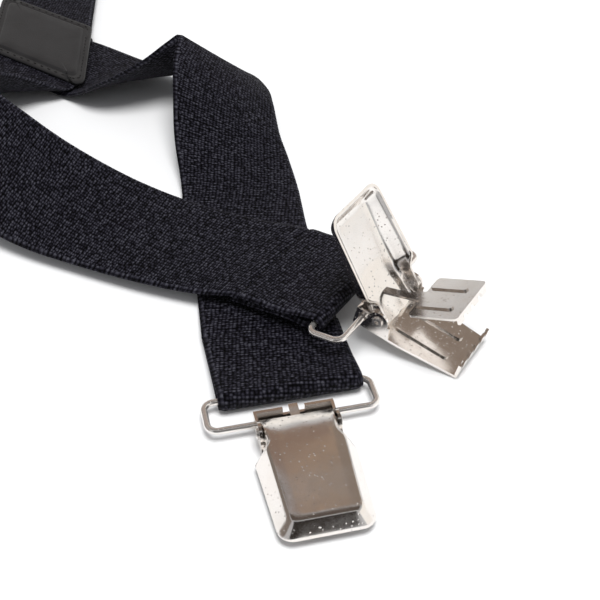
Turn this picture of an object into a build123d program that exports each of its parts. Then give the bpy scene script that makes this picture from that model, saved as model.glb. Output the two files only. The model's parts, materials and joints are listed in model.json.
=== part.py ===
from build123d import *
from math import asin, cos, degrees, radians, sin
import os

# A pair of X-back suspenders, laid on a table with one back clip open and one closed.
# Everything is laid out in table coordinates (mm, +Z up, table top at Z = 0), and at the
# end the whole assembly is shifted so that its bounding box stands centred on the origin.

# ---- driving dimensions (mm) ----
WEB_WIDTH = 38.0          # elastic webbing
WEB_THICK = 1.6
LEATHER_THICK = 1.2

WIRE_RADIUS = 0.9         # wire loop between strap and clip
LOOP_WIDTH = 43.8         # between the centre lines of its two sides
LOOP_DEPTH = 10.0         # between the centre lines of its two bars
LOOP_CORNER = 2.6

SHEET = 0.8               # pressed steel of the clip
BASE_WIDTH = 20.6
BASE_FRONT_WIDTH = 17.6
BASE_FRONT = 29.6         # clip lengths are measured from the wire loop's bar
FLOOR_DROP = 3.0          # underside of the clip below the wire bar
PIVOT = (4.5, 1.6)        # rivet axis: ahead of and above the wire bar
JAW_HINGE = (-1.8, 2.0)   # where the jaw's tab hooks through the back wall
JAW_WIDTH = 18.2
JAW_REAR = 12.6           # where the jaw widens from its tab
JAW_FRONT = 27.2
JAW_TAB = 4.4
COVER_WIDTH = 25.4
COVER_TIP_WIDTH = 23.0
COVER_TOP = 5.0           # face of the closed cover above the wire bar
COVER_TIP = 36.2
COVER_BEVEL = 3.3          # slope of the long sides, measured across
NECK_WIDTH = 18.9
RIVET_RADIUS = 1.0        # shank; its holes have RIVET_HOLE
RIVET_HOLE = 1.1
RIVET_HEAD = 1.5
RIVET_TAIL = 1.3
RIVET_REST = 1.5          # half-round rest at the end of the cover's lip, over the shanks
CURL_RADIUS = 3.6         # outside of the lip curled down from the cover's face

FOLD_HOLE = 1.15          # eye that the webbing makes round the wire
SEAM = 28.0               # sewn fold-back length
COVER_OPEN = 134.0        # opening angles, degrees
JAW_OPEN = 32.16          # the jaw turns 0.24 as far as the cover

STACK_STEP = 2.8          # height from one stored layer to the next
STACK_START = 100.0       # where the stored zigzag begins and turns, from the patch
STACK_END = 230.0
STACK_LAYERS = 5
FRONT_BAR = 276.0         # wire bar of a front clip, from the patch
ADJUSTER_AT = 240.5

# ---- layout on the table ----
CROSS = (-102.0, 377.0)   # where the two straps cross, under the leather patch
HEADING_1 = 95.0          # front strap of the upper layer
HEADING_2 = 144.0         # front strap of the lower layer
LAYER_1 = 3.8             # heights of the two layers' middles at the patch
LAYER_2 = 1.6
OPEN_BAR = (13.8, 225.7, 8.5)       # wire bars that the back straps fold round
OPEN_YAW = -32.5
OPEN_RISE = 0.9                     # of the wire loop, from the strap to the clip
OPEN_TILT = -12.4
OPEN_EYE_TILT = 6.5
CLOSED_BAR = (-3.5, 190.5, 3.0)
CLOSED_EYE_TILT = 3.0
CLOSED_YAW = -77.0
CLOSED_SHIFT = 1.0                  # of the webbing along its bar


def heading(angle):
    """Unit vector on the table, degrees from +X."""
    return Vector(cos(radians(angle)), sin(radians(angle)), 0)


def clip_place(origin, yaw, tilt=0.0):
    """Frame of a clip: X along its length, Y across it, Z out of its face."""
    length = heading(yaw) * cos(radians(tilt)) + Vector(0, 0, sin(radians(tilt)))
    across = heading(yaw + 90)
    return Plane(origin=origin, x_dir=length, z_dir=length.cross(across))


def side_profile(points):
    """Closed outline in the clip's length-height plane."""
    return make_face(Polyline(*[(x, 0, z) for x, z in points], close=True))


def extrude_across(face, width, middle=0.0):
    """Extrude a length-height face across the clip."""
    solid = extrude(face, amount=width / 2, dir=(0, 1, 0), both=True)
    return Pos(0, middle, 0) * solid


# ---- wire loop ----
def wire_loop():
    """Bent wire: its clip bar lies on the Y axis and its strap bar LOOP_DEPTH behind."""
    path = Pos(-LOOP_DEPTH / 2, 0, 0) * RectangleRounded(LOOP_DEPTH, LOOP_WIDTH, LOOP_CORNER)
    start = Plane(origin=(0, 0, 0), z_dir=(0, 1, 0))
    return sweep(start * Circle(WIRE_RADIUS), path=path.wire())


# ---- pressed clip parts ----
def rivet_bar(radius, length, middle=0.0):
    """Round bar on the rivets' axis."""
    return Pos(PIVOT[0], middle, PIVOT[1]) * Rot(90, 0, 0) * Cylinder(radius, length)


def base_plate():
    """Bottom jaw: flat plate with two ribs, ears, a back wall with a window and toothed front."""
    low = -FLOOR_DROP
    outline = make_face(Polyline(
        (-2.2, -BASE_WIDTH / 2, low), (12, -BASE_WIDTH / 2, low),
        (BASE_FRONT, -BASE_FRONT_WIDTH / 2, low), (BASE_FRONT, BASE_FRONT_WIDTH / 2, low),
        (12, BASE_WIDTH / 2, low), (-2.2, BASE_WIDTH / 2, low), close=True))
    plate = extrude(outline, amount=SHEET, dir=(0, 0, 1))
    ear_shape = side_profile([(-2.2, low), (9.0, low), (8.2, 1.4), (-0.6, 2.6), (-2.2, 2.6)])
    ear_shape += Pos(PIVOT[0], 0, PIVOT[1]) * Rot(90, 0, 0) * Circle(3.1)
    ear = extrude_across(ear_shape, SHEET)
    ear -= Rot(90, 0, 0) * Cylinder(WIRE_RADIUS + 0.3, 4)
    ear -= rivet_bar(RIVET_HOLE, 4)
    for side in (-1, 1):
        plate += Pos(0, side * (BASE_WIDTH - SHEET) / 2, 0) * ear
    back = Pos(-1.8, 0, (2.6 + low) / 2) * Box(SHEET, BASE_WIDTH, 2.6 - low)
    back -= Pos(-1.8, 0, 1.7) * Box(2, JAW_TAB + 1.2, 2.4)
    plate += back
    front = Pos(BASE_FRONT - SHEET / 2, 0, low + 2.4) * Box(SHEET, BASE_FRONT_WIDTH, 4.8)
    for step in range(-2, 3):
        front -= Pos(BASE_FRONT - SHEET / 2, step * 3.6, low + 4.3) * Box(2, 1.5, 2.4)
    plate += front
    for side in (-1, 1):
        rib = Pos(16.5, side * 4.3, low + SHEET) * SlotCenterToCenter(14, 2.4)
        plate += extrude(rib, amount=0.6)
        groove = Pos(16.5, side * 4.3, low) * SlotCenterToCenter(14, 1.2)
        plate -= extrude(groove, amount=0.6)
    return plate


def jaw_plate():
    """Top jaw: narrow tab hooked in the back wall, wide pressed plate and pronged front wall."""
    tab_shape = side_profile([
        (-2.9, 1.7), (-1.2, 1.55), (7.6, 0.0), (13.4, 0.0), (13.4, 0.7), (7.6, 0.7),
        (-1.2, 2.3), (-2.9, 2.45)])
    jaw = extrude_across(tab_shape, JAW_TAB)
    length = JAW_FRONT - JAW_REAR
    middle = (JAW_FRONT + JAW_REAR) / 2
    plate = Pos(middle, 0, 0.35) * Box(length, JAW_WIDTH, 0.7)
    plate = fillet(plate.edges().filter_by(Axis.Z), 1.2)
    jaw += plate
    wall = JAW_FRONT - 0.4
    front = Pos(wall, 0, -0.75) * Box(0.8, JAW_WIDTH - 2.4, 2.2)
    for step in (-1, 0, 1):
        front -= Pos(wall, step * 4.2, -1.2) * Box(2, 2.1, 1.4)
    jaw += front
    for side in (-1, 1):
        bead = Pos(middle - 1.5, side * 4.4, 0.7) * SlotCenterToCenter(9, 1.9)
        jaw += extrude(bead, amount=0.5)
        slot = Pos(middle - 1.5, side * 4.4, 0) * SlotCenterToCenter(9, 0.9)
        jaw -= extrude(slot, amount=0.5)
    return jaw


def cover_shell(inset):
    """Solid form of the cover: bevelled long sides, steep tip and rounded tip corners."""
    bottom = -0.8
    top = COVER_TOP - inset
    slope = COVER_BEVEL / (COVER_TOP - bottom)

    def section(z):
        shrink = slope * (z - bottom) + inset
        rear = COVER_WIDTH / 2 - shrink
        tip = COVER_TIP_WIDTH / 2 - shrink
        end = COVER_TIP - 0.25 * slope * (z - bottom) - inset
        shape = make_face(Polyline(
            (11.4, -rear), (end, -tip), (end, tip), (11.4, rear), close=True))
        corners = shape.vertices().sort_by(Axis.X)[-2:]
        return Pos(0, 0, z) * fillet(corners, 3.6 - inset)

    return loft([section(bottom - 0.01 * inset), section(top)], ruled=True)


def cover():
    """Snap cover: channel over the jaws, a neck between the ears and a cam lip at its end."""
    shell = cover_shell(0) - cover_shell(SHEET)
    face = make_face(Polyline(
        (7.2, -NECK_WIDTH / 2), (9.4, -NECK_WIDTH / 2), (11.8, -9.8),
        (11.8, 9.8), (9.4, NECK_WIDTH / 2), (7.2, NECK_WIDTH / 2), close=True))
    shell += extrude(Pos(0, 0, COVER_TOP - SHEET) * face, amount=SHEET)
    cheek_shape = side_profile([
        (4.0, -0.5), (12.2, -0.5), (12.2, COVER_TOP), (7.2, COVER_TOP), (4.7, 4.0), (3.8, 2.6)])
    cheek_shape += Pos(PIVOT[0], 0, PIVOT[1]) * Rot(90, 0, 0) * Circle(2.3)
    cheek = extrude_across(cheek_shape, SHEET)
    cheek -= rivet_bar(RIVET_HOLE, 4)
    for side in (-1, 1):
        shell += Pos(0, side * (NECK_WIDTH - SHEET) / 2, 0) * cheek
        shoulder = Pos(11.8, side * 10.3, 1.8) * Box(SHEET, 2.9, 5.2)
        shell += shoulder & (cover_shell(0) + Pos(11, 0, 2) * Box(3, NECK_WIDTH, 8))
    curl = Circle(CURL_RADIUS) - Circle(CURL_RADIUS - SHEET)
    curl &= make_face(Polyline((0.2, 0), (0.2, 4), (-4, 4), (-4, 1.2), close=True))
    lip = extrude_across(Pos(7.2, 0, COVER_TOP - CURL_RADIUS) * Rot(90, 0, 0) * curl, NECK_WIDTH)
    shell += lip - rivet_bar(RIVET_REST, BASE_WIDTH)
    shell -= Pos(6.2, 0, 3.2) * Box(6.4, JAW_TAB + 1.2, 4.6)
    return shell


def rivets():
    """Two tubular rivets through ear and neck, with rolled outer heads."""
    pair = []
    for side in (-1, 1):
        inner = NECK_WIDTH / 2 - SHEET - 0.35
        outer = BASE_WIDTH / 2
        rivet = rivet_bar(RIVET_RADIUS, outer - inner, side * (inner + outer) / 2)
        rivet += rivet_bar(RIVET_HEAD, 0.5, side * (outer + 0.25))
        rivet += rivet_bar(RIVET_TAIL, 0.3, side * (inner + 0.15))
        rivet -= rivet_bar(0.6, 1.6, side * (outer + 0.25))
        pair.append(rivet)
    return Compound(children=pair)


def turned(shape, centre, angle):
    """Turn a clip part about an axis across the clip; positive opens it."""
    if angle == 0:
        return shape
    axis = Axis((centre[0], 0, centre[1]), (0, -1, 0))
    return shape.rotate(axis, angle)


# ---- webbing ----
def section_at(left, right, forward, thickness):
    """Rectangular section of webbing between its two selvages."""
    across = (right - left).normalized()
    up = across.cross(forward).normalized() * (thickness / 2)
    return make_face(Polyline(left + up, right + up, right - up, left - up, close=True))


def ribbon(edges, thickness=WEB_THICK):
    """Webbing lofted through hand-set pairs of selvage points (left, right of travel)."""
    pairs = [(Vector(*left), Vector(*right)) for left, right in edges]
    middles = [(left + right) / 2 for left, right in pairs]
    sections = []
    for index, (left, right) in enumerate(pairs):
        ahead = middles[min(index + 1, len(pairs) - 1)]
        behind = middles[max(index - 1, 0)]
        sections.append(section_at(left, right, ahead - behind, thickness))
    return loft(sections, ruled=True)


def fold_eye(place):
    """Sewn end of the webbing folded round a wire bar on the place's Y axis."""
    outer = FOLD_HOLE + WEB_THICK
    body = side_profile([
        (-SEAM, -WEB_THICK), (-11, -WEB_THICK), (-1.2, -outer * 0.93),
        (-1.2, outer * 0.93), (-11, WEB_THICK), (-SEAM, WEB_THICK)])
    body += Rot(90, 0, 0) * Circle(outer)
    eye = extrude_across(body, WEB_WIDTH)
    eye -= Rot(90, 0, 0) * Cylinder(FOLD_HOLE, WEB_WIDTH + 2)
    return place * eye


def seam_pair(place, back):
    """Selvage points of the single webbing where it enters a sewn end."""
    return tuple(tuple(place.from_local_coords((-back, side * WEB_WIDTH / 2, 0)))
                 for side in (1, -1))


# ---- places of the four clips ----
open_eye = clip_place(OPEN_BAR, OPEN_YAW, OPEN_EYE_TILT)
open_loop_tilt = degrees(asin(OPEN_RISE / LOOP_DEPTH))
open_hinge = clip_place(OPEN_BAR, OPEN_YAW, open_loop_tilt).from_local_coords((LOOP_DEPTH, 0, 0))
open_loop = clip_place(open_hinge, OPEN_YAW, open_loop_tilt)
open_clip = clip_place(open_hinge, OPEN_YAW, OPEN_TILT)
closed_loop_bar = clip_place(CLOSED_BAR, CLOSED_YAW)
closed_eye = clip_place(closed_loop_bar.from_local_coords((0, CLOSED_SHIFT, 0)), CLOSED_YAW,
                        CLOSED_EYE_TILT)
closed_clip = clip_place(closed_loop_bar.from_local_coords((LOOP_DEPTH, 0, 0)), CLOSED_YAW)


def front_place(angle, distance, height):
    spot = Vector(CROSS[0], CROSS[1], height) + heading(angle) * distance
    return clip_place(spot, angle)


# ---- back straps ----
def back_strap_open():
    """Upper layer: leaves the patch, makes a banked turn and ends at the open clip."""
    start = clip_place((CROSS[0], CROSS[1], LAYER_1), HEADING_1 + 180)
    edges = [
        seam_pair(start, 0),
        ((-83.4, 348.6, 3.8), (-121.3, 352, 3.8)),
        ((-87.5, 343, 5.2), (-125.4, 343, 4.3)),
        ((-95, 338.5, 11), (-131, 329, 5.5)),
        ((-103, 329, 19), (-134, 310, 7)),
        ((-105, 314, 27), (-131, 291, 11)),
        ((-99, 301, 29), (-119, 275, 10)),
        ((-88, 293, 25), (-104, 262, 7)),
        ((-73, 285, 18), (-85, 250, 4.5)),
        ((-53, 276, 11), (-66, 241, 4)),
        ((-34, 268, 7.5), (-47, 233, 4.2)),
        ((-15, 261.5, 6), (-31, 227.5, 4.8)),
        seam_pair(open_eye, SEAM - 3),
        seam_pair(open_eye, SEAM - 8),
    ]
    return ribbon(edges) + fold_eye(open_eye)


def back_strap_closed():
    """Lower layer: leaves the patch, makes a banked turn and ends at the closed clip."""
    start = clip_place((CROSS[0], CROSS[1], LAYER_2), HEADING_2 + 180)
    edges = [
        seam_pair(start, 0),
        ((-76, 382, 1.7), (-98.5, 351.5, 1.7)),
        ((-61, 371, 1.7), (-86, 343, 2.2)),
        ((-47, 360, 3), (-72, 333.5, 12)),
        ((-31, 356, 5), (-57, 334, 20)),
        ((-19, 350, 7), (-47, 338, 26)),
        ((-12, 338, 8), (-42.5, 339.5, 28)),
        ((-9.5, 326, 8.5), (-43.5, 328, 25)),
        ((-7, 311, 5.5), (-43, 315, 18)),
        ((-4, 300, 3), (-42, 302, 9.5)),
        ((-0.5, 284, 1), (-38.5, 283, 2.4)),
        ((2.5, 262, 0.9), (-35.5, 258, 0.9)),
        ((7.5, 240, 0.9), (-30.5, 235.5, 0.9)),
        seam_pair(closed_eye, SEAM - 3),
        seam_pair(closed_eye, SEAM - 8),
    ]
    return ribbon(edges) + fold_eye(closed_eye)


# ---- front straps, stored as a flat zigzag ----
def zigzag(angle, layer):
    """Webbing in a vertical plane: from the patch over a stack of layers to its sewn end."""
    place = front_place(angle, 0, 0)
    half = WEB_THICK / 2
    top = half + (STACK_LAYERS - 1) * STACK_STEP
    runs = [[(0, layer), (52, layer), (STACK_START - 6, top), (STACK_END, top)]]
    for step in range(1, STACK_LAYERS - 1):
        height = top - step * STACK_STEP
        runs.append([(STACK_START, height), (STACK_END, height)])
    runs.append([(STACK_START, half), (STACK_END - 8, half), (STACK_END + 1.5, 1.75),
                 (ADJUSTER_AT + 4, 1.75), (FRONT_BAR - SEAM + 4, FLOOR_DROP)])
    profile = None
    for run in runs:
        for (x0, z0), (x1, z1) in zip(run, run[1:]):
            span = Vector(x1 - x0, 0, z1 - z0)
            off = Vector(-span.Z, 0, span.X).normalized() * half
            a, b = Vector(x0, 0, z0), Vector(x1, 0, z1)
            piece = make_face(Polyline(a + off, b + off, b - off, a - off, close=True))
            piece += Pos(x1, 0, z1) * Rot(90, 0, 0) * Circle(half)
            profile = piece if profile is None else profile + piece
    for step in range(STACK_LAYERS - 1):
        x = STACK_END if step % 2 == 0 else STACK_START
        middle = top - (step + 0.5) * STACK_STEP
        ring = Circle(STACK_STEP / 2 + half) - Circle(STACK_STEP / 2 - half)
        keep = Pos(5 if step % 2 == 0 else -5, 0) * Rectangle(10, 10)
        profile += Pos(x, 0, middle) * Rot(90, 0, 0) * (ring & keep)
    strap = extrude_across(profile, WEB_WIDTH)
    return place * strap + fold_eye(front_place(angle, FRONT_BAR, FLOOR_DROP))


# ---- adjusters on the front straps ----
def adjuster_frame():
    """Channel under the webbing with two cheeks that carry the pin."""
    width = WEB_WIDTH + 3.0
    frame = Pos(0, 0, 0.4) * Box(14, width + 2, 0.8)
    for side in (-1, 1):
        cheek = side_profile([(-7, 0), (7, 0), (5, 5.2), (2, 7.4), (-2, 7.4), (-5, 5.2)])
        cheek = extrude_across(cheek, 1.0, side * (width + 1) / 2)
        frame += cheek - Pos(0, 0, 5.4) * Rot(90, 0, 0) * Cylinder(1.05, width + 8)
    return frame


def adjuster_lever():
    """Cam lever with a knurled edge, turning on the pin."""
    shape = side_profile([(-2.0, 4.6), (-0.8, 2.95), (0.8, 2.95), (2.0, 4.6), (15, 5.2),
                          (15, 6.4), (1.6, 7.0), (-1.4, 7.0)])
    lever = extrude_across(shape, WEB_WIDTH + 1.6)
    return lever - Pos(0, 0, 5.4) * Rot(90, 0, 0) * Cylinder(1.05, WEB_WIDTH + 8)


def adjuster_pin():
    """Headed pin across the adjuster."""
    pin = Pos(0, 0, 5.4) * Rot(90, 0, 0) * Cylinder(1.0, WEB_WIDTH + 5.4)
    for side in (-1, 1):
        pin += Pos(0, side * (WEB_WIDTH + 5.6) / 2, 5.4) * Rot(90, 0, 0) * Cylinder(1.6, 0.5)
    return pin


# ---- leather cross patch ----
def patch_outline(grow):
    """Four-sided outline whose edges follow the two crossing straps, with rounded corners."""
    first = heading(HEADING_1)
    side_1 = heading(HEADING_1 - 90)
    side_2 = heading(HEADING_2 - 90)
    centre = Vector(*CROSS)

    def corner(a, b):
        # a, b: signed distances of the corner from the middles of the two straps
        along = (b - side_2.dot(side_1 * a)) / side_2.dot(first)
        return centre + side_1 * a + first * along

    right = WEB_WIDTH / 2 + 0.6 + grow
    left = -WEB_WIDTH / 2 - 0.6 - grow
    low = -13.8 - grow
    high = 23.0 + grow
    face = make_face(Polyline(corner(right, low), corner(right, high), corner(left, high),
                              corner(left, low), close=True))
    return fillet(face.vertices(), 3.5 + grow)


def patch_front():
    """Front leather with a raised panel inside a stitched border."""
    under = LAYER_1 + WEB_THICK / 2 + 0.05
    leather = extrude(Pos(0, 0, under) * patch_outline(0), amount=LEATHER_THICK)
    panel = extrude(Pos(0, 0, under + LEATHER_THICK) * patch_outline(-3.4), amount=0.5)
    return leather + panel


def patch_back():
    """Plain back leather against the table."""
    return extrude(patch_outline(-0.3), amount=0.75)


# ---- assembly ----
nodes = {}


def add_clip(name, place, loop_place, open_angle, jaw_angle):
    nodes[f"wire_loop_{name}"] = loop_place * wire_loop()
    nodes[f"base_plate_{name}"] = place * base_plate()
    nodes[f"jaw_plate_{name}"] = place * turned(jaw_plate(), JAW_HINGE, jaw_angle)
    nodes[f"cover_{name}"] = place * turned(cover(), PIVOT, open_angle)
    nodes[f"rivets_{name}"] = place * rivets()


add_clip("back_open", open_clip, open_loop, COVER_OPEN, JAW_OPEN)
add_clip("back_closed", closed_clip, closed_clip, 0, 0)
for number, angle in ((1, HEADING_1), (2, HEADING_2)):
    spot = front_place(angle, FRONT_BAR + LOOP_DEPTH, FLOOR_DROP)
    add_clip(f"front_{number}", spot, spot, 0, 0)
    adjuster = front_place(angle, ADJUSTER_AT, 0)
    nodes[f"adjuster_frame_{number}"] = adjuster * adjuster_frame()
    nodes[f"adjuster_lever_{number}"] = adjuster * adjuster_lever()
    nodes[f"adjuster_pin_{number}"] = adjuster * adjuster_pin()
nodes["back_strap_open"] = back_strap_open()
nodes["back_strap_closed"] = back_strap_closed()
nodes["front_strap_1"] = zigzag(HEADING_1, LAYER_1)
nodes["front_strap_2"] = zigzag(HEADING_2, LAYER_2)
nodes["patch_front"] = patch_front()
nodes["patch_back"] = patch_back()

box = Compound([shape for shape in nodes.values()]).bounding_box()
shift = Vector(-box.center().X, -box.center().Y, -box.min.Z)

os.makedirs("parts", exist_ok=True)
for name, shape in nodes.items():
    export_step(Pos(shift) * shape, f"parts/{name}.step")
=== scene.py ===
import json
from math import asin, atan2, ceil, cos, degrees, pi, radians, sin

import bmesh
import bpy
from mathutils import Matrix, Vector, noise

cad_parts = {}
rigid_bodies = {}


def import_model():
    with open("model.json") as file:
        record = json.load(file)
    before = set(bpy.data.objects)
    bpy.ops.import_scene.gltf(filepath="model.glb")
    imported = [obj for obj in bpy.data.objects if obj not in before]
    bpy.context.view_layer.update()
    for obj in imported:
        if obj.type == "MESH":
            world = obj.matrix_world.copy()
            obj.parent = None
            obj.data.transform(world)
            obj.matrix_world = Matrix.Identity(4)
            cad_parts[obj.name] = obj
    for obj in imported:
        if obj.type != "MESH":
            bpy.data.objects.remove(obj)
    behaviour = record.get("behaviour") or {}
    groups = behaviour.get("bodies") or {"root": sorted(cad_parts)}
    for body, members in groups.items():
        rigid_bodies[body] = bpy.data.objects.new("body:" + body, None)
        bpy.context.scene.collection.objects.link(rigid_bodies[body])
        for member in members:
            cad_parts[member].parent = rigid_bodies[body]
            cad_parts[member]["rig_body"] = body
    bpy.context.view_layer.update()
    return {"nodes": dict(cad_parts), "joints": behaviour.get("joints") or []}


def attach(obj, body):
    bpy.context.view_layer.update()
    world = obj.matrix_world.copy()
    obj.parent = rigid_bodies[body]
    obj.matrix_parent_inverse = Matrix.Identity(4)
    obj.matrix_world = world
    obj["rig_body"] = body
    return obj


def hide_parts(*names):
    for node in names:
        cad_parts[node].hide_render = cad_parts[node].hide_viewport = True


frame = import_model()
MM = 0.001

# ---- shared dimensions of the CAD model (mm, layout coordinates) ----
WEB_WIDTH = 38.0
WEB_THICK = 1.5
LOOP_DEPTH = 10.0
FOLD_MIDDLE = 1.95        # radius of the webbing's middle round a wire bar
SEAM = 28.0
CROSS = (-102.0, 377.0)
HEADING_1 = 95.0
HEADING_2 = 144.0
LAYER_1 = 3.8
LAYER_2 = 1.6
STACK_STEP = 2.8
STACK_START = 100.0
STACK_END = 230.0
STACK_LAYERS = 5
FRONT_BAR = 276.0
ADJUSTER_AT = 240.5
OPEN_BAR = (13.8, 225.7, 8.5)
OPEN_YAW = -32.5
OPEN_EYE_TILT = 6.5
CLOSED_BAR = (-3.5, 190.5, 3.0)
CLOSED_YAW = -77.0
CLOSED_EYE_TILT = 3.0
CLOSED_SHIFT = 1.0
OPEN_RISE = 0.9
OPEN_TILT = -12.4
COVER_OPEN = 134.0
PIVOT = (4.5, 1.6)        # rivet axis in a clip's length-height plane
NECK_WIDTH = 18.9
COVER_WIDTH = 25.4
COVER_TIP_WIDTH = 23.0
COVER_TIP = 36.2
COVER_TOP = 5.0
SHEET = 0.8
JAW_REAR = 12.6
COVER_RIM = -0.7          # height of the cover's rim
COVER_NECK_END = 9.4      # the cover widens from its neck between here and its shoulder
COVER_SHOULDER = 12.4
COVER_WIDEST = 11.4       # its sides taper to the tip from here

# ---- shapes that only the visual model has (mm) ----
LIP_END = 1.4             # rear end of the cover's rolled lip, and how far it is rolled down
LIP_DROP = 2.2
TIP_DROP = 1.6            # the cover's face falls towards the tip
ROLL_ABOVE = 2.9          # levels of the cover above this height follow its rolled face
FACE_ABOVE = 4.4          # levels above this height belong to the face
SPINE_REACH = 5.0         # length at the tip that closes onto the face's middle line
TAB_REACH = JAW_REAR - 1.5  # the jaw's tab lies within this distance of the clip's origin
TAB_SLIMMING = 0.45       # share of the tab's width that is taken off
EASE = 0.16               # rounding of the metal edges
RIVET_EASE = 0.1
SELVAGE_FROM = 17.6       # distance from the webbing's middle to its selvage
SELVAGE_ROUND = 0.8
STITCH_HEIGHT = WEB_THICK + 0.12
SEAM_GROOVE = 2.6         # distance from the end of the fold-back to its stitched groove
FRONT_SEAM = 12.0
STACK_FLOOR = 0.8         # middle of the stack's lowest layer
PATCH_LOW = -13.8         # the patch's edges, measured across the second strap
PATCH_HIGH = 23.0
PATCH_MARGIN = 0.6

# The layout's origin in the frame, read from a joint that both know.
joints = {joint["name"]: joint for joint in frame["joints"]}
LAYOUT = Vector(joints["loop_swing_back_closed"]["pos_m"]) - Vector(CLOSED_BAR) * MM

# ---- view ----
CAMERA_HEIGHT = 197.0     # mm above the table, over the layout's origin
CAMERA_PITCH = 40.6       # degrees below the horizon
CAMERA_LENS = 63.0


def place(point):
    """Layout point in mm to frame metres."""
    return LAYOUT + Vector(point) * MM


def heading(angle):
    """Level unit vector at an angle in degrees from +X."""
    return Vector((cos(radians(angle)), sin(radians(angle)), 0))


class Spot:
    """Local frame on the layout: x along a heading with a tilt, y across it to the left, z up."""

    def __init__(self, origin, yaw, tilt=0.0):
        self.origin = Vector(origin)
        self.x = heading(yaw) * cos(radians(tilt)) + Vector((0, 0, sin(radians(tilt))))
        self.y = heading(yaw + 90)
        self.z = self.x.cross(self.y)

    def at(self, x, y, z):
        """Layout point at local coordinates in mm."""
        return self.origin + self.x * x + self.y * y + self.z * z


# ---- node helpers ----
def new_material(name):
    """A node material with its tree and its Principled shader."""
    material = bpy.data.materials.new(name)
    material.use_nodes = True
    tree = material.node_tree
    shader = tree.nodes["Principled BSDF"]
    return material, tree, shader


def add(tree, kind, **settings):
    """A new node with its properties set."""
    node = tree.nodes.new(kind)
    for key, value in settings.items():
        setattr(node, key, value)
    return node


def link(tree, source, target):
    tree.links.new(source, target)


def ramp(tree, source, stops):
    """Color ramp through (position, colour) stops."""
    node = add(tree, "ShaderNodeValToRGB")
    elements = node.color_ramp.elements
    while len(elements) < len(stops):
        elements.new(0.5)
    for element, (position, color) in zip(elements, stops):
        element.position = position
        element.color = (*color, 1)
    link(tree, source, node.inputs["Fac"])
    return node.outputs["Color"]


def grey(value):
    return (value, value, value)


def math_node(tree, operation, first, second=None):
    """Math node whose inputs are numbers or sockets."""
    node = add(tree, "ShaderNodeMath", operation=operation)
    for socket, value in zip(node.inputs, (first, second)):
        if value is None:
            continue
        if isinstance(value, (int, float)):
            socket.default_value = value
        else:
            link(tree, value, socket)
    return node.outputs[0]


def bump(tree, shader, height, distance, strength=1.0):
    """Bump from a height socket; distance in metres."""
    node = add(tree, "ShaderNodeBump")
    node.inputs["Distance"].default_value = distance
    node.inputs["Strength"].default_value = strength
    link(tree, height, node.inputs["Height"])
    link(tree, node.outputs["Normal"], shader.inputs["Normal"])


def noise_texture(tree, vector, scale, detail=3.0, roughness=0.5):
    """Noise factor socket over a vector socket."""
    node = add(tree, "ShaderNodeTexNoise")
    node.inputs["Scale"].default_value = scale
    node.inputs["Detail"].default_value = detail
    node.inputs["Roughness"].default_value = roughness
    link(tree, vector, node.inputs["Vector"])
    return node.outputs["Fac"]


# ---- materials ----
def webbing_material():
    """Pebbly elastic weave in millimetres of UV, with open loops along both selvages."""
    material, tree, shader = new_material("charcoal_webbing")
    coordinates = add(tree, "ShaderNodeTexCoord")
    split = add(tree, "ShaderNodeSeparateXYZ")
    link(tree, coordinates.outputs["UV"], split.inputs[0])
    across = split.outputs["X"]

    # Body of the weave: slanting rows of small pebbles.
    stretch = add(tree, "ShaderNodeMapping")
    stretch.inputs["Scale"].default_value = (0.92, 1.25, 1.0)
    stretch.inputs["Rotation"].default_value = (0, 0, radians(7))
    link(tree, coordinates.outputs["UV"], stretch.inputs["Vector"])
    pebbles = add(tree, "ShaderNodeTexVoronoi", feature="F1")
    pebbles.inputs["Scale"].default_value = 1.0
    pebbles.inputs["Randomness"].default_value = 0.42
    link(tree, stretch.outputs[0], pebbles.inputs["Vector"])
    round_top = math_node(tree, "SUBTRACT", 1.0, pebbles.outputs["Distance"])

    # Selvage: a band of wider, more open loops at each edge.
    edge = math_node(tree, "ABSOLUTE", math_node(tree, "SUBTRACT", across, WEB_WIDTH / 2))
    band = math_node(tree, "GREATER_THAN", edge, SELVAGE_FROM)
    loops = add(tree, "ShaderNodeTexVoronoi", feature="F1")
    loops.inputs["Scale"].default_value = 0.6
    loops.inputs["Randomness"].default_value = 0.2
    link(tree, coordinates.outputs["UV"], loops.inputs["Vector"])
    loop_top = math_node(tree, "SUBTRACT", 1.0, loops.outputs["Distance"])
    height = add(tree, "ShaderNodeMix", data_type="FLOAT")
    link(tree, band, height.inputs["Factor"])
    link(tree, round_top, height.inputs[2])
    link(tree, loop_top, height.inputs[3])

    # Weft rows run across the webbing, a little skewed.
    skewed = math_node(tree, "ADD", split.outputs["Y"], math_node(tree, "MULTIPLY", across, 0.12))
    rows = math_node(tree, "SINE", math_node(tree, "MULTIPLY", skewed, 2 * pi * 1.25 / 1.6))
    fibres = noise_texture(tree, coordinates.outputs["UV"], 7.0, 4.0)
    fuzz = math_node(tree, "ADD", math_node(tree, "MULTIPLY", fibres, 0.3),
                     math_node(tree, "MULTIPLY", rows, 0.07))
    surface = math_node(tree, "ADD", height.outputs[0], fuzz)
    bump(tree, shader, surface, 0.0007, 1.0)

    # Each pebble has its own random tone; on top of that the colour follows the weave's height, so the
    # pebble tops carry a painted highlight and the gaps between pebbles are painted shade, near black.
    shade = add(tree, "ShaderNodeSeparateColor")
    link(tree, pebbles.outputs["Color"], shade.inputs[0])
    lightness = math_node(tree, "ADD", math_node(tree, "MULTIPLY", shade.outputs[0], 0.22), 0.80)
    color = ramp(tree, math_node(tree, "MULTIPLY", surface, lightness), [
        (0.44, (0.0008, 0.0008, 0.0012)), (0.60, (0.007, 0.0065, 0.0105)),
        (0.78, (0.027, 0.026, 0.036)), (1.0, (0.07, 0.07, 0.085))])
    link(tree, color, shader.inputs["Base Color"])
    shader.inputs["Roughness"].default_value = 0.7
    shader.inputs["Specular IOR Level"].default_value = 0.12
    return material


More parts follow.
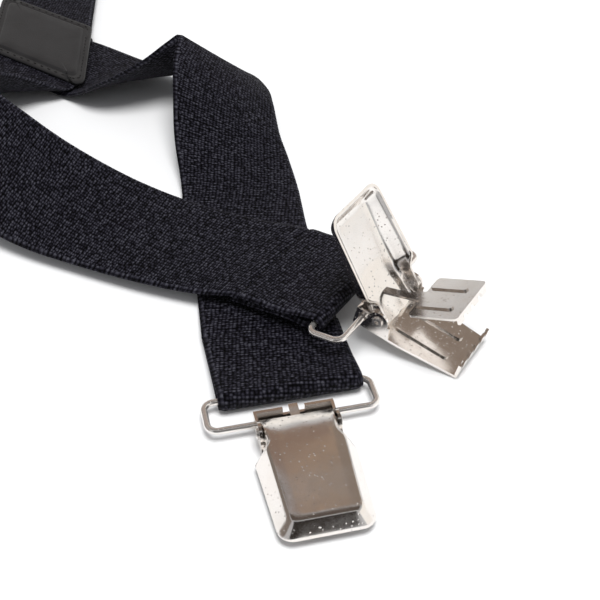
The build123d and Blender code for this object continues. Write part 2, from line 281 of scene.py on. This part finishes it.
def thread_material():
    """Black sewing thread with a fine twist."""
    material, tree, shader = new_material("black_thread")
    coordinates = add(tree, "ShaderNodeTexCoord")
    twist = add(tree, "ShaderNodeTexWave", wave_type="BANDS", bands_direction="DIAGONAL")
    twist.inputs["Scale"].default_value = 900
    link(tree, coordinates.outputs["Object"], twist.inputs["Vector"])
    color = ramp(tree, twist.outputs["Fac"], [(0, grey(0.004)), (1, grey(0.02))])
    link(tree, color, shader.inputs["Base Color"])
    bump(tree, shader, twist.outputs["Fac"], 0.0001)
    shader.inputs["Roughness"].default_value = 0.6
    return material


def metal_material(name, color, roughness, pits, metallic=1.0):
    """Nickel plate: soft polish, hairline rub marks and scattered tiny pits."""
    material, tree, shader = new_material(name)
    coordinates = add(tree, "ShaderNodeTexCoord")
    vector = coordinates.outputs["Object"]
    cloud = noise_texture(tree, vector, 160, 3.0)
    warm = tuple(channel * factor for channel, factor in zip(color, (0.96, 0.94, 0.92)))
    tint = ramp(tree, cloud, [(0.3, warm), (0.7, color)])
    link(tree, tint, shader.inputs["Base Color"])
    shader.inputs["Metallic"].default_value = metallic
    rub = noise_texture(tree, vector, 420, 5.0, 0.65)
    rough = ramp(tree, rub, [(0.25, grey(roughness * 0.75)), (0.8, grey(roughness * 1.4))])
    link(tree, rough, shader.inputs["Roughness"])
    specks = add(tree, "ShaderNodeTexVoronoi", feature="F1")
    specks.inputs["Scale"].default_value = 900
    link(tree, vector, specks.inputs["Vector"])
    dots = ramp(tree, specks.outputs["Distance"], [(0.0, grey(0)), (pits, grey(1))])
    patches = ramp(tree, noise_texture(tree, vector, 300, 2.0), [(0.42, grey(1)), (0.52, grey(0))])
    held = math_node(tree, "MAXIMUM", dots, patches)
    soft = math_node(tree, "ADD", held, math_node(tree, "MULTIPLY", rub, 0.02))
    bump(tree, shader, soft, 0.00014, 0.9)
    return material


def leather_material():
    """Smooth dark grey leather with a fine pore grain."""
    material, tree, shader = new_material("grey_leather")
    coordinates = add(tree, "ShaderNodeTexCoord")
    vector = coordinates.outputs["Object"]
    grain = add(tree, "ShaderNodeTexVoronoi", feature="DISTANCE_TO_EDGE")
    grain.inputs["Scale"].default_value = 1300
    link(tree, vector, grain.inputs["Vector"])
    pores = noise_texture(tree, vector, 2400, 3.0)
    height = math_node(tree, "ADD", grain.outputs["Distance"], math_node(tree, "MULTIPLY", pores, 0.4))
    bump(tree, shader, height, 0.00012, 0.4)
    wear = noise_texture(tree, vector, 90, 4.0)
    color = ramp(tree, wear, [(0.3, (0.015, 0.015, 0.016)), (0.75, (0.025, 0.025, 0.026))])
    link(tree, color, shader.inputs["Base Color"])
    shader.inputs["Roughness"].default_value = 0.5
    shader.inputs["Specular IOR Level"].default_value = 0.3
    return material


WEBBING = webbing_material()
THREAD = thread_material()
NICKEL = metal_material("nickel_plate", (0.90, 0.865, 0.83), 0.17, 0.2)
WIRE = metal_material("nickel_wire", (0.90, 0.87, 0.84), 0.17, 0.08, 0.86)
LEATHER = leather_material()


# ---- mesh helpers ----
def make_object(name, mesh, material, body):
    """A visible piece that rides on a body."""
    mesh.materials.append(material)
    mesh.shade_smooth()
    piece = bpy.data.objects.new(name, mesh)
    bpy.context.scene.collection.objects.link(piece)
    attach(piece, body)
    return piece


def catmull(points, step):
    """Smooth curve through points; step is the number of samples in each span."""
    ends = [points[0] * 2 - points[1]] + points + [points[-1] * 2 - points[-2]]
    samples = []
    for a, b, c, d in zip(ends, ends[1:], ends[2:], ends[3:]):
        for index in range(step):
            t = index / step
            samples.append(0.5 * ((2 * b) + (c - a) * t + (2 * a - 5 * b + 4 * c - d) * t ** 2
                                  + (3 * b - a - 3 * c + d) * t ** 3))
    return samples + [points[-1]]


def even(lefts, rights, spacing):
    """Resample two matching selvages at an even spacing along their middle."""
    middles = [(left + right) / 2 for left, right in zip(lefts, rights)]
    reached = [0.0]
    for before, after in zip(middles, middles[1:]):
        reached.append(reached[-1] + (after - before).length)
    count = max(2, ceil(reached[-1] / spacing))
    pairs = []
    span = 0
    for index in range(count + 1):
        goal = reached[-1] * index / count
        while span < len(reached) - 2 and reached[span + 1] < goal:
            span += 1
        t = (goal - reached[span]) / max(1e-9, reached[span + 1] - reached[span])
        pairs.append((lefts[span].lerp(lefts[span + 1], t), rights[span].lerp(rights[span + 1], t)))
    return pairs, reached[-1]


def web_section():
    """Closed outline of the webbing: (across 0..1, height -1..1), rounder at the selvages."""
    top = []
    columns = 26
    for index in range(columns + 1):
        across = index / columns
        edge = min(across, 1 - across) * WEB_WIDTH
        inward = min(1.0, edge / SELVAGE_ROUND)
        height = (1 - (1 - inward) ** 2) ** 0.5
        top.append((across, max(height, 0.25)))
    return top + [(across, -height) for across, height in reversed(top)]


def ribbon(name, edges, body="root", spacing=0.9, samples=12, wave=0.12):
    """Webbing along pairs of selvage points (mm), with its weave laid out in UV millimetres."""
    lefts = catmull([Vector(left) for left, right in edges], samples)
    rights = catmull([Vector(right) for left, right in edges], samples)
    pairs, length = even(lefts, rights, spacing)
    outline = web_section()
    mesh = bpy.data.meshes.new(name)
    shape = bmesh.new()
    uv_layer = shape.loops.layers.uv.new("weave")
    rings = []
    for index, (left, right) in enumerate(pairs):
        ahead = pairs[min(index + 1, len(pairs) - 1)]
        behind = pairs[max(index - 1, 0)]
        forward = (ahead[0] + ahead[1] - behind[0] - behind[1]) / 2
        across = right - left
        up = across.cross(forward).normalized()
        ring = []
        for share, height in outline:
            point = left.lerp(right, share)
            ripple = noise.noise(point * 0.09) * wave
            ring.append(shape.verts.new(place(point + up * (height * WEB_THICK / 2 + ripple))))
        rings.append(ring)
    count = len(outline)
    for index, (ring, after) in enumerate(zip(rings, rings[1:])):
        for column in range(count):
            follow = (column + 1) % count
            face = shape.faces.new((ring[column], ring[follow], after[follow], after[column]))
            corners = ((column, index), (follow, index), (follow, index + 1), (column, index + 1))
            for loop, (side, row) in zip(face.loops, corners):
                loop[uv_layer].uv = (outline[side][0] * WEB_WIDTH, row * length / (len(rings) - 1))
    for ring in (rings[0], rings[-1]):
        half = count // 2
        for column in range(half - 1):
            shape.faces.new((ring[column], ring[column + 1],
                             ring[count - 2 - column], ring[count - 1 - column]))
    bmesh.ops.recalc_face_normals(shape, faces=shape.faces)
    shape.to_mesh(mesh)
    shape.free()
    return make_object(name, mesh, WEBBING, body), length


def pair_at(spot, x, z):
    """Selvage points of the webbing at a place along a spot, left of travel first."""
    return tuple(spot.at(x, side * WEB_WIDTH / 2, z) for side in (1, -1))


def eye_path(spot):
    """Webbing from its seam over the wire bar and back under to the seam."""
    layer = WEB_THICK / 2 + 0.06
    over = [(-SEAM + 1, layer), (-SEAM + SEAM_GROOVE, layer - 0.9), (-SEAM + 4.2, layer + 0.3),
            (-18, layer), (-10, layer), (-4.5, 1.5)]
    under = [(-4.5, 1.5), (-10, layer), (-18, layer), (-SEAM + 0.5, layer)]
    edges = [pair_at(spot, x, z) for x, z in over]
    for angle in (88, 52, 16, -16, -52, -88):
        x = FOLD_MIDDLE * cos(radians(angle))
        z = FOLD_MIDDLE * sin(radians(angle))
        edges.append(pair_at(spot, x, z))
    return edges + [pair_at(spot, x, -z) for x, z in under]


def stitch_row(name, spot, along, height, count=17):
    """A row of stitches across the webbing, each a short raised thread."""
    shape = bmesh.new()
    width = WEB_WIDTH - 4
    for index in range(count):
        y = (index + 0.5) / count * width - width / 2
        lean = 0.45 if index % 2 else -0.45
        for turn in range(5):
            bend = turn / 4
            centre = spot.at(along + lean * (bend - 0.5) * 2, y + (bend - 0.5) * width / count * 0.8,
                             height + 0.16 * sin(pi * bend))
            matrix = Matrix.Translation(place(centre)) @ Matrix.Scale(0.22 * MM, 4)
            bmesh.ops.create_icosphere(shape, subdivisions=2, radius=1, matrix=matrix)
    mesh = bpy.data.meshes.new(name)
    shape.to_mesh(mesh)
    shape.free()
    return make_object(name, mesh, THREAD, "root")


# ---- back straps ----
start_1 = Spot((*CROSS, LAYER_1), HEADING_1 + 180)
start_2 = Spot((*CROSS, LAYER_2), HEADING_2 + 180)
open_eye = Spot(OPEN_BAR, OPEN_YAW, OPEN_EYE_TILT)
closed_bar = Spot(CLOSED_BAR, CLOSED_YAW)
closed_eye = Spot(closed_bar.at(0, CLOSED_SHIFT, 0), CLOSED_YAW, CLOSED_EYE_TILT)

OPEN_EDGES = [
    pair_at(start_1, 0, 0),
    ((-83.4, 348.6, 3.8), (-121.3, 352, 3.8)),
    ((-87.5, 343, 5.2), (-125.4, 343, 4.3)),
    ((-95, 338.5, 11), (-131, 329, 5.5)),
    ((-103, 329, 19), (-134, 310, 7)),
    ((-105, 314, 27), (-131, 291, 11)),
    ((-99, 301, 29), (-119, 275, 10)),
    ((-88, 293, 25), (-104, 262, 7)),
    ((-73, 285, 18), (-85, 250, 4.5)),
    ((-53, 276, 11), (-66, 241, 4)),
    ((-34, 268, 7.5), (-47, 233, 4.2)),
    ((-15, 261.5, 6), (-31, 227.5, 4.8)),
]
CLOSED_EDGES = [
    pair_at(start_2, 0, 0),
    ((-76, 382, 1.7), (-98.5, 351.5, 1.7)),
    ((-61, 371, 1.7), (-86, 343, 2.2)),
    ((-47, 360, 3), (-72, 333.5, 12)),
    ((-31, 356, 5), (-57, 334, 20)),
    ((-19, 350, 7), (-47, 338, 26)),
    ((-12, 338, 8), (-42.5, 339.5, 28)),
    ((-9.5, 326, 8.5), (-43.5, 328, 25)),
    ((-7, 311, 5.5), (-43, 315, 18)),
    ((-4, 300, 3), (-42, 302, 9.5)),
    ((-0.5, 284, 1), (-38.5, 283, 2.4)),
    ((2.5, 262, 0.9), (-35.5, 258, 0.9)),
    ((7.5, 240, 0.9), (-30.5, 235.5, 0.9)),
]


def back_strap(node, edges, eye):
    """A back strap; only the open clip's strap shows its seam."""
    piece, length = ribbon(node + "_webbing", edges + eye_path(eye))
    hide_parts(node)
    if node == "back_strap_open":
        stitch_row(node + "_stitches", eye, -SEAM + SEAM_GROOVE, STITCH_HEIGHT - 0.75)


back_strap("back_strap_open", OPEN_EDGES, open_eye)
back_strap("back_strap_closed", CLOSED_EDGES, closed_eye)


# ---- front straps, put away as a flat zigzag ----
def front_strap(number, angle, layer):
    """Webbing in a vertical plane: from the patch, back and forth down the stack, to its eye."""
    spot = Spot((*CROSS, 0), angle)
    low = STACK_FLOOR
    top = low + (STACK_LAYERS - 1) * STACK_STEP
    path = [(0, layer), (26, layer), (52, layer), (74, (layer + top) / 2), (STACK_START - 6, top)]
    for step in range(STACK_LAYERS - 1):
        outward = step % 2 == 0
        height = top - step * STACK_STEP
        near, far = (STACK_START, STACK_END) if outward else (STACK_END, STACK_START)
        path += [(near + (far - near) * share, height) for share in (0.2, 0.5, 0.8, 0.97)]
        for turn in (60, 0, -60):
            swing = STACK_STEP / 2
            x = swing * cos(radians(turn)) * (1 if outward else -1)
            path.append((far + x, height - swing + swing * sin(radians(turn))))
    path += [(STACK_START + 4, low), (150, low), (200, low), (STACK_END - 8, low),
             (STACK_END + 1.5, 1.75), (ADJUSTER_AT + 4, 1.9)]
    eye = Spot(spot.at(FRONT_BAR, 0, CLOSED_BAR[2]), angle)
    edges = [pair_at(spot, x, z) for x, z in path]
    node = f"front_strap_{number}"
    piece, length = ribbon(node + "_webbing", edges + eye_path(eye), spacing=1.1, samples=5, wave=0.0)
    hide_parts(node)
    stitch_row(node + "_stitches", eye, -SEAM + FRONT_SEAM, STITCH_HEIGHT)


front_strap(1, HEADING_1, LAYER_1)
front_strap(2, HEADING_2, LAYER_2)


# ---- leather patch ----
def patch_ring(grow, radius, height):
    """Points round the patch: four straight sides and rounded corners, in layout mm."""
    first = heading(HEADING_1)
    side_1 = heading(HEADING_1 - 90)
    side_2 = heading(HEADING_2 - 90)
    centre = Vector((*CROSS, 0))

    def corner(a, b):
        along = (b - side_2.dot(side_1 * a)) / side_2.dot(first)
        return centre + side_1 * a + first * along

    half = WEB_WIDTH / 2 + PATCH_MARGIN + grow
    low, high = PATCH_LOW - grow, PATCH_HIGH + grow
    corners = [corner(half, low), corner(half, high), corner(-half, high), corner(-half, low)]
    ring = []
    for index, point in enumerate(corners):
        before = (corners[index - 1] - point).normalized()
        after = (corners[(index + 1) % 4] - point).normalized()
        angle = before.angle(after)
        reach = radius / max(0.2, abs(sin(angle / 2))) * cos(angle / 2)
        start, end = point + before * reach, point + after * reach
        for step in range(9):
            t = step / 8
            ring.append((1 - t) ** 2 * start + 2 * t * (1 - t) * point + t ** 2 * end)
        far = corners[(index + 1) % 4] - after * reach
        ring += [end.lerp(far, step / 12) for step in range(1, 12)]
    return [place(point + Vector((0, 0, height))) for point in ring]


def patch_piece(name, node, rings):
    """Leather lofted through rings from the underside's middle to the top's middle."""
    shape = bmesh.new()
    loops = [[shape.verts.new(point) for point in patch_ring(*ring)] for ring in rings]
    for lower, upper in zip(loops, loops[1:]):
        for index in range(len(lower)):
            follow = (index + 1) % len(lower)
            shape.faces.new((lower[index], lower[follow], upper[follow], upper[index]))
    shape.faces.new(list(reversed(loops[0])))
    shape.faces.new(loops[-1])
    bmesh.ops.recalc_face_normals(shape, faces=shape.faces)
    mesh = bpy.data.meshes.new(name)
    shape.to_mesh(mesh)
    shape.free()
    piece = make_object(name, mesh, LEATHER, "root")
    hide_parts(node)
    return piece


under = LAYER_1 + 0.85
front_leather = patch_piece("patch_front_leather", "patch_front", [
    (-3.0, 1.5, under), (-0.4, 3.4, under), (0.0, 3.6, under + 0.3), (0.0, 3.6, under + 0.8),
    (-0.25, 3.5, under + 1.1), (-0.8, 3.3, under + 1.2), (-2.7, 2.6, under + 1.15),
    (-3.0, 2.4, under + 1.0), (-3.3, 2.2, under + 1.05), (-3.8, 2.0, under + 1.6),
    (-4.3, 1.8, under + 1.72), (-8.0, 1.2, under + 1.76)])
back_leather = patch_piece("patch_back_leather", "patch_back", [
    (-3.0, 1.5, 0.02), (-0.6, 3.3, 0.02), (-0.3, 3.4, 0.2), (-0.3, 3.4, 0.6),
    (-0.6, 3.3, 0.75), (-3.0, 2.0, 0.76)])


def patch_stitches():
    """Lock stitches along the border of the front leather."""
    ring = patch_ring(-1.7, 2.8, under + 1.25)
    shape = bmesh.new()
    reach = 0.0
    for before, after in zip(ring, ring[1:] + ring[:1]):
        reach += (after - before).length
        if reach < 1.9 * MM:
            continue
        reach = 0.0
        along = (after - before).normalized()
        turn = Vector((1, 0, 0)).rotation_difference(along).to_matrix().to_4x4()
        matrix = Matrix.Translation(after) @ turn @ Matrix.Diagonal((0.75 * MM, 0.24 * MM, 0.2 * MM, 1))
        bmesh.ops.create_icosphere(shape, subdivisions=2, radius=1, matrix=matrix)
    mesh = bpy.data.meshes.new("patch_stitches")
    shape.to_mesh(mesh)
    shape.free()
    make_object("patch_stitches", mesh, THREAD, "root")


patch_stitches()


# ---- metal: the CAD shapes with eased edges ----
def weigh_normals(mesh):
    """Shading that follows the broad faces, so that only the small eased edges look rounded."""
    around = [[] for vertex in mesh.vertices]
    for polygon in mesh.polygons:
        for vertex in polygon.vertices:
            around[vertex].append(polygon)
    normals = []
    for polygon in mesh.polygons:
        own = polygon.normal.copy()
        for vertex in polygon.vertices:
            near = [other for other in around[vertex] if other.normal.dot(own) > cos(radians(38))]
            total = sum((other.normal * other.area for other in near), Vector())
            normals.append(total.normalized() if total.length > 0 else own)
    mesh.normals_split_custom_set(normals)


def slim_tab(shape, spot):
    """Narrow the jaw's tab behind its plate to a slim spring strip."""
    middle = place(spot.origin)
    for vertex in shape.verts:
        away = vertex.co - middle
        if (away - spot.y * away.dot(spot.y)).length < TAB_REACH * MM:
            vertex.co -= spot.y * away.dot(spot.y) * TAB_SLIMMING


def eased(node, material, width, spot=None):
    """A copy of a CAD node whose sharp edges are rounded, standing for that node."""
    source = frame["nodes"][node]
    shape = bmesh.new()
    shape.from_mesh(source.data)
    if spot:
        slim_tab(shape, spot)
    bmesh.ops.remove_doubles(shape, verts=shape.verts, dist=1e-6)
    bmesh.ops.dissolve_limit(shape, angle_limit=radians(0.6), verts=shape.verts, edges=shape.edges)
    sharp = [edge for edge in shape.edges
             if len(edge.link_faces) == 2 and edge.calc_face_angle(0) > radians(32)]
    if width and sharp:
        bmesh.ops.bevel(shape, geom=sharp, offset=width * MM, offset_type="OFFSET", segments=2,
                        profile=0.6, affect="EDGES", clamp_overlap=True)
    mesh = bpy.data.meshes.new(node + "_metal")
    shape.to_mesh(mesh)
    shape.free()
    piece = make_object(node + "_metal", mesh, material, source["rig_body"])
    weigh_normals(mesh)
    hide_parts(node)


def smooth_step(low, high, value):
    """0 below low, 1 above high, and an eased rise between."""
    t = min(1.0, max(0.0, (value - low) / (high - low)))
    return t * t * (3 - 2 * t)


def cover_half(x):
    """Half width of the cover at its rim: the neck between the ears, then the wide part."""
    neck = NECK_WIDTH / 2
    taper = (x - COVER_WIDEST) / (COVER_TIP - COVER_WIDEST)
    wide = COVER_WIDTH / 2 + (COVER_TIP_WIDTH - COVER_WIDTH) / 2 * taper
    return neck + (wide - neck) * smooth_step(COVER_NECK_END, COVER_SHOULDER, x)


def cover_roll(x, y, inside):
    """Height of the face: flat, then rolled down in a fan to the lip over the rivets."""
    start = 8.2 + 5.0 * (1 - (y / 9.6) ** 2)
    t = max(0.0, (start - x) / (start - LIP_END))
    ray = atan2(y, x - LIP_END + 4)
    folds = 0.12 * min(t, 0.6) * (1 - cos(5.5 * ray))
    if inside:
        edge = max(0.0, 10 + 6.5 * (1 - (y / 9.0) ** 2) - x)
        folds = 0.35 * smooth_step(0, 1.2, edge) + 0.3 * smooth_step(0, 6, edge) * (1 - cos(6.5 * ray))
    return COVER_TOP - LIP_DROP * t * t - folds


def cover_ring(wide, tip, neck, height, rear, inward, spine=0.0):
    """Points round the cover at one level: up one side, round the tip and back; local mm."""
    end = COVER_TIP - tip - inward
    radius = max(1.2, 3.8 - 0.5 * (wide + inward))
    ring = []
    straight = 30
    for index in range(straight + 1):
        x = rear + (end - radius - rear) * index / straight
        inset = neck + (wide - neck) * smooth_step(COVER_NECK_END, COVER_SHOULDER, x) + inward
        ring.append((x, cover_half(x) - inset))
    side = ring[-1][1]
    for index in range(1, 9):
        turn = radians(90 * index / 8)
        ring.append((end - radius + radius * sin(turn), side - radius + radius * cos(turn)))
    for index in range(1, 8):
        ring.append((end, (side - radius) * (1 - index / 8)))
    half = [(x, y * (1 - spine)) for x, y in ring]
    close = end - SPINE_REACH
    half = [(x if x < close else close + (x - close) * (1 - spine), y) for x, y in half]
    both = half + [(end * (1 - spine) + close * spine, 0.0)] + [(x, -y) for x, y in reversed(half)]
    points = []
    for x, y in both:
        z = height
        if height > ROLL_ABOVE:
            sunk = COVER_TOP - height if spine or height > FACE_ABOVE or inward else 0
            z = min(height, cover_roll(x, y, inward > 0) - sunk)
        points.append((x, y, z))
    return points


# Levels of the pressed sheet from its rim to the face: insets of the wide part, the tip and the
# neck, height, and where the level starts at the rear.
COVER_LEVELS = [
    (0.0, 0.0, 0.0, COVER_RIM, 3.7), (0.15, 0.0, 0.0, -0.4, 2.8), (0.65, 0.3, 0.0, 0.5, 2.2),
    (1.2, 0.75, 0.0, 1.5, 2.1), (1.75, 1.2, 0.05, 2.5, 2.0), (2.25, 1.65, 0.2, 3.4, 1.8),
    (2.65, 2.05, 0.5, 4.15, 1.6), (3.1, 2.5, 1.0, 4.75, 1.4), (3.8, 3.2, 1.8, 5.0, 1.4),
]


def cover_piece(node, spot, open_angle):
    """The snap cover as one pressed sheet with soft shoulders, a rounded tip and a rolled lip."""
    cosine = cos(radians(open_angle))
    sine = sin(radians(open_angle))
    shape = bmesh.new()

    def surface(inward, drop):
        rings = [cover_ring(wide, tip, neck, height - (drop if height > 0 else 0), rear, inward)
                 for wide, tip, neck, height, rear in COVER_LEVELS]
        wide, tip, neck, height, rear = COVER_LEVELS[-1]
        rings += [cover_ring(wide, tip, neck, height - drop, rear, inward, spine)
                  for spine in (0.25, 0.5, 0.75, 1.0)]
        layers = []
        for ring in rings:
            layer = []
            for x, y, z in ring:
                raised = (z - COVER_RIM) / (COVER_TOP - COVER_RIM)
                z -= TIP_DROP * smooth_step(12, COVER_TIP, x) * raised
                dx, dz = x - PIVOT[0], z - PIVOT[1]
                point = spot.at(PIVOT[0] + dx * cosine - dz * sine, y,
                                PIVOT[1] + dx * sine + dz * cosine)
                layer.append(shape.verts.new(place(point)))
            layers.append(layer)
        return layers

    outer = surface(0.0, 0.0)
    inner = surface(SHEET * 0.9, SHEET)
    count = len(outer[0])
    for layers in (outer, inner):
        for low, high in zip(layers, layers[1:]):
            for index in range(count - 1):
                shape.faces.new((low[index], low[index + 1], high[index + 1], high[index]))
    for index in range(count - 1):
        shape.faces.new((outer[0][index], outer[0][index + 1], inner[0][index + 1], inner[0][index]))
    for end in (0, count - 1):
        for level in range(len(outer) - 1):
            shape.faces.new((outer[level][end], outer[level + 1][end],
                             inner[level + 1][end], inner[level][end]))
    bmesh.ops.remove_doubles(shape, verts=shape.verts, dist=1e-6)
    bmesh.ops.recalc_face_normals(shape, faces=shape.faces)
    mesh = bpy.data.meshes.new(node + "_metal")
    shape.to_mesh(mesh)
    shape.free()
    piece = make_object(node + "_metal", mesh, NICKEL, frame["nodes"][node]["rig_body"])
    mesh.set_sharp_from_angle(angle=radians(50))
    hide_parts(node)


# ---- the four clips ----
open_loop_tilt = degrees(asin(OPEN_RISE / LOOP_DEPTH))
open_hinge = Spot(OPEN_BAR, OPEN_YAW, open_loop_tilt).at(LOOP_DEPTH, 0, 0)
clips = {
    "back_open": (Spot(open_hinge, OPEN_YAW, OPEN_TILT), COVER_OPEN),
    "back_closed": (Spot(closed_bar.at(LOOP_DEPTH, 0, 0), CLOSED_YAW), 0),
}
for number, angle in ((1, HEADING_1), (2, HEADING_2)):
    front_bar = Spot((*CROSS, CLOSED_BAR[2]), angle).at(FRONT_BAR + LOOP_DEPTH, 0, 0)
    clips[f"front_{number}"] = (Spot(front_bar, angle), 0)

for clip, (spot, open_angle) in clips.items():
    cover_piece(f"cover_{clip}", spot, open_angle)
    eased(f"base_plate_{clip}", NICKEL, EASE)
    eased(f"jaw_plate_{clip}", NICKEL, EASE, spot)
    eased(f"rivets_{clip}", WIRE, RIVET_EASE)
    eased(f"wire_loop_{clip}", WIRE, 0)
for number in (1, 2):
    for part in ("frame", "lever", "pin"):
        eased(f"adjuster_{part}_{number}", NICKEL, EASE)


# ---- floor, light and camera ----
def stage_plane(name, size, matrix, color):
    """A matt plane that isn't part of the object."""
    mesh = bpy.data.meshes.new(name)
    shape = bmesh.new()
    bmesh.ops.create_grid(shape, x_segments=1, y_segments=1, size=size, matrix=matrix)
    shape.to_mesh(mesh)
    shape.free()
    plane = bpy.data.objects.new(name, mesh)
    bpy.context.scene.collection.objects.link(plane)
    material, tree, shader = new_material(name + "_finish")
    shader.inputs["Base Color"].default_value = (*color, 1)
    shader.inputs["Roughness"].default_value = 0.9
    mesh.materials.append(material)
    return plane


FLOOR_SIZE = 9.0          # metres, so that no edge shows from any side
stage_plane("floor", FLOOR_SIZE, Matrix.Identity(4), grey(0.86))


def card(name, target, offset, width, height, color):
    """A glowing panel that only shows as a reflection in the metal."""
    facing = Vector((-offset[0] if abs(offset[0]) > 1 else 0, -offset[1], -offset[2]))
    turn = facing.to_track_quat("Z", "Y").to_matrix().to_4x4()
    matrix = Matrix.Translation(target + Vector(offset)) @ turn @ Matrix.Diagonal((width, height, 1, 1))
    panel = stage_plane(name, 0.5, matrix, (0, 0, 0))
    shader = panel.data.materials[0].node_tree.nodes["Principled BSDF"]
    shader.inputs["Emission Color"].default_value = (*color, 1)
    shader.inputs["Emission Strength"].default_value = 1.0
    shader.inputs["Specular IOR Level"].default_value = 0.0
    panel.visible_camera = False
    panel.visible_diffuse = False
    panel.visible_shadow = False


world = bpy.data.worlds.new("studio")
world.use_nodes = True
world.node_tree.nodes["Background"].inputs["Color"].default_value = (0.96, 0.97, 1.0, 1)
world.node_tree.nodes["Background"].inputs["Strength"].default_value = 0.5
bpy.context.scene.world = world


def area_light(name, target, offset, size, power):
    """A round soft light aimed at the target."""
    lamp = bpy.data.lights.new(name, "AREA")
    lamp.shape = "DISK"
    lamp.size = size
    lamp.energy = power
    light = bpy.data.objects.new(name, lamp)
    light.location = target + Vector(offset)
    light.rotation_euler = (-Vector(offset)).to_track_quat("-Z", "Y").to_euler()
    bpy.context.scene.collection.objects.link(light)
    return light


focus = place((-10, 250, 0))
key = area_light("key", focus, (0.1, -0.15, 1.2), 0.7, 14)
key.visible_glossy = False
card("brown_wall", focus, (-0.82, 1.3, 1.3), 1.76, 1.4, (0.25, 0.18, 0.145))
card("tan_wall", focus, (0.095, 1.3, 1.3), 0.07, 1.4, (0.42, 0.30, 0.21))
card("grey_wall", focus, (0.92, 1.3, 1.3), 1.58, 1.4, (0.25, 0.2, 0.165))
card("dark_room", focus, (0.0, -1.5, 0.9), 1.8, 1.9, (0.03, 0.025, 0.022))
card("ceiling", focus, (0.0, 0.0, 1.7), 2.4, 1.3, (0.1, 0.08, 0.068))
card("left_wall", focus, (-1.8, 0.2, 0.7), 3.0, 2.0, (0.2, 0.17, 0.15))
card("right_wall", focus, (1.8, 0.0, 0.5), 3.0, 1.6, (1.02, 1.0, 0.97))
card("back_wall", focus, (0.0, 2.4, 0.25), 4.0, 1.0, (1.02, 1.0, 0.97))

camera_data = bpy.data.cameras.new("camera")
camera_data.lens = CAMERA_LENS
camera_data.sensor_width = 36.0
camera_data.clip_start = 0.01
camera = bpy.data.objects.new("camera", camera_data)
camera.location = place((0, 0, CAMERA_HEIGHT))
camera.rotation_euler = (radians(90 - CAMERA_PITCH), 0, 0)
bpy.context.scene.collection.objects.link(camera)
bpy.context.scene.camera = camera
bpy.context.scene.view_settings.view_transform = "Standard"
